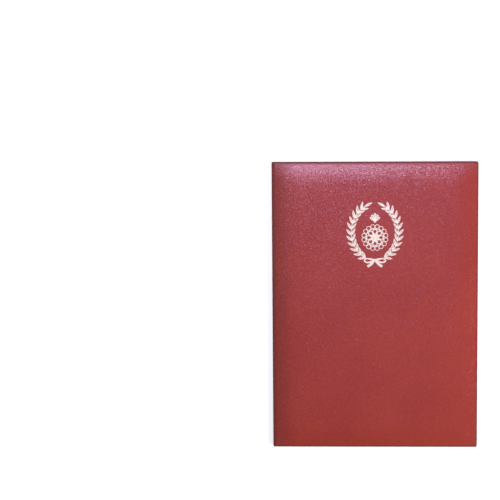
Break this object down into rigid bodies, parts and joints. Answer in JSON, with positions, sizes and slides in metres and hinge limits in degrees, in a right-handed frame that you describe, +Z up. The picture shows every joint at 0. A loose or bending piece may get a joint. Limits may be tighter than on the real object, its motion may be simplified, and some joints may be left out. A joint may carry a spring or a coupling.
{
  "type": "presentation folder",
  "caption": "Padded leatherette presentation folder for A4 sheets, with a foil ornament, paper lined inside; both covers hinge on a flat spine.",
  "frame": {"origin": "centre of the closed folder's outline, on the surface that its back cover lies on", "axes": "+X from the spine to the fore edge, +Y from the foot to the head, +Z up through the closed covers"},
  "size_m": [0.22, 0.31, 0.0102],
  "materials": {
    "leatherette": "satin",
    "endpaper": "matte",
    "greyboard": "matte",
    "padding": "matte",
    "gold_foil": "satin"
  },
  "bodies": {
    "back_cover": {"back_cover_skin": "leatherette", "back_board": "greyboard", "back_lining": "leatherette", "back_endpaper": "endpaper"},
    "spine": {"spine_skin": "leatherette", "spine_card": "greyboard", "spine_lining": "leatherette", "spine_endpaper": "endpaper"},
    "front_cover": {"front_cover_skin": "leatherette", "front_board": "greyboard", "front_pad": "padding", "front_lining": "leatherette", "endpaper_stub": "endpaper", "front_endpaper": "endpaper", "foil_wreath": "gold_foil", "foil_rosette": "gold_foil", "foil_finial": "gold_foil"}
  },
  "joints": [
    {"name": "spine_fold", "type": "hinge", "parent": "back_cover", "child": "spine", "pos_m": [-0.10758, 0, 0.00245], "axis": [0, -1, 0], "range_deg": [0, 90]},
    {"name": "front_fold", "type": "hinge", "parent": "spine", "child": "front_cover", "pos_m": [-0.10758, 0, 0.0076], "axis": [0, -1, 0], "range_deg": [0, 90]}
  ]
}
